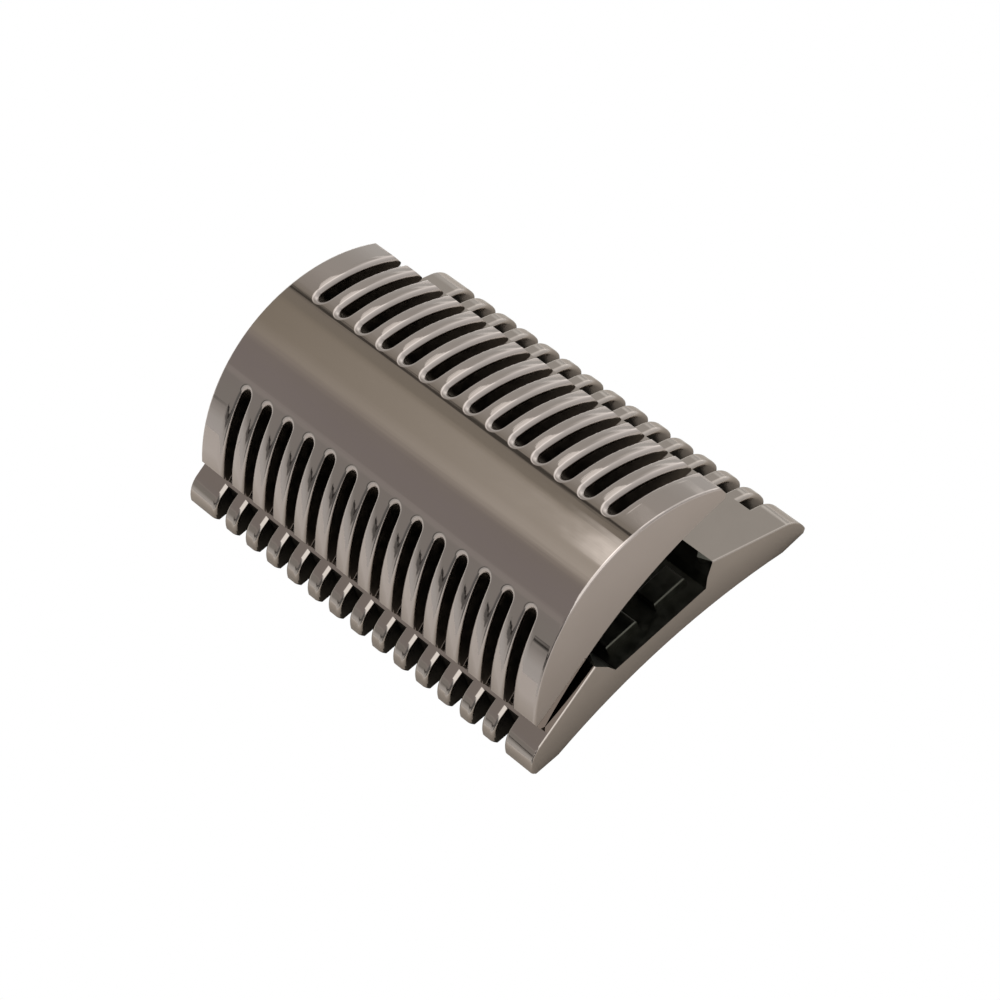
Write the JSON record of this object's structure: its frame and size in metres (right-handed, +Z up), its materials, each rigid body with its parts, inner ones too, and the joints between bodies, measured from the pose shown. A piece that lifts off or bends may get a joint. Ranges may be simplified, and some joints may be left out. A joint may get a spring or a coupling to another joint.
{
  "type": "safety razor head",
  "caption": "Head of a double-edge safety razor: a curved slotted cap lying loose and tilted on an open-comb base plate with a lengthwise channel.",
  "frame": {"origin": "on the surface the comb tips stand on, midway along and across the base plate", "axes": "+X along the head, +Y across it towards the lifted edge of the cap, +Z up through the cap"},
  "size_m": [0.043, 0.028, 0.0123],
  "materials": {
    "plate_metal": "polished dark gunmetal plating, lightly soft in its reflections",
    "cap_metal": "polished dark gunmetal plating",
    "post_metal": "turned, gunmetal plated",
    "pin_metal": "turned, gunmetal plated"
  },
  "bodies": {
    "plate": {"base_plate": "plate_metal"},
    "cap": {"top_cap": "cap_metal", "threaded_post": "post_metal", "locating_pin_left": "pin_metal", "locating_pin_right": "pin_metal"}
  },
  "joints": [
    {"name": "cap_rock", "type": "hinge", "parent": "plate", "child": "cap", "pos_m": [0, -0.00681, 0.0009], "axis": [1, 0, 0], "range_deg": [-16, 0]}
  ]
}
